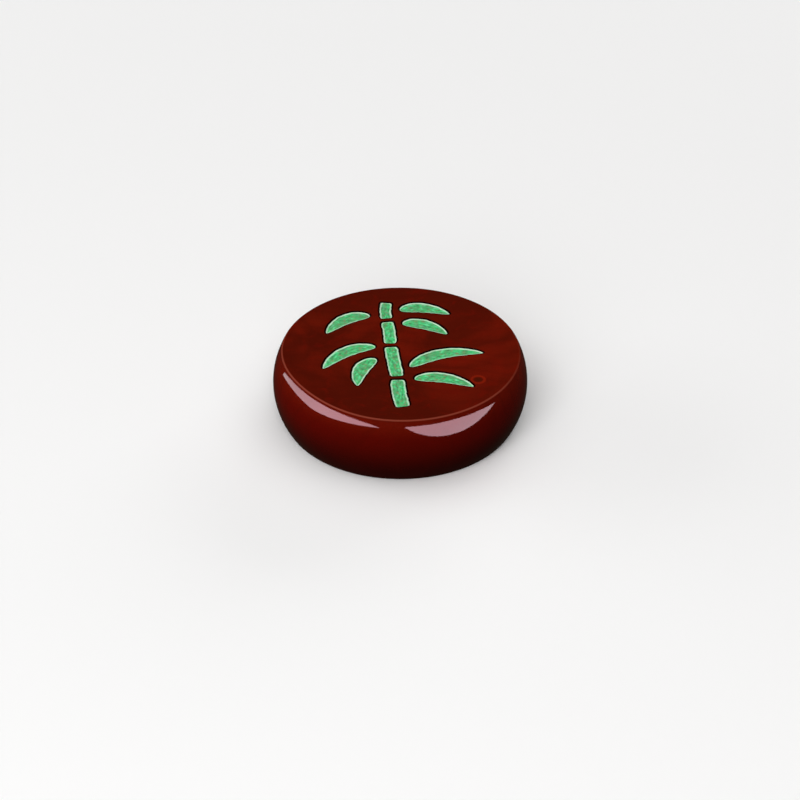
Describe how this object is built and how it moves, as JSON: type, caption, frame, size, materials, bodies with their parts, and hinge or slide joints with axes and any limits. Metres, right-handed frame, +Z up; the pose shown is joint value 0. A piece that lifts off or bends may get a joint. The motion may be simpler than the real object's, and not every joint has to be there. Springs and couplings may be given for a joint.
{
  "type": "xiangqi piece",
  "caption": "Drum-shaped polished agate game piece with a bamboo sprig engraved in its flat face and filled with green enamel.",
  "frame": {"origin": "middle of the foot, on the surface that the piece stands on", "axes": "+Z up, through the middle of the face; +Y towards the top of the sprig, +X to its right"},
  "size_m": [0.05, 0.05, 0.0145],
  "materials": {
    "agate": "polished",
    "enamel": "satin"
  },
  "bodies": {
    "root": {"agate_disc": "agate", "stalk_foot_enamel": "enamel", "stalk_middle_enamel": "enamel", "stalk_upper_enamel": "enamel", "stalk_tip_enamel": "enamel", "leaf_foot_right_enamel": "enamel", "leaf_low_right_enamel": "enamel", "leaf_low_left_enamel": "enamel", "leaf_mid_left_enamel": "enamel", "leaf_mid_right_enamel": "enamel", "leaf_crown_left_enamel": "enamel", "leaf_crown_right_enamel": "enamel"}
  },
  "joints": []
}
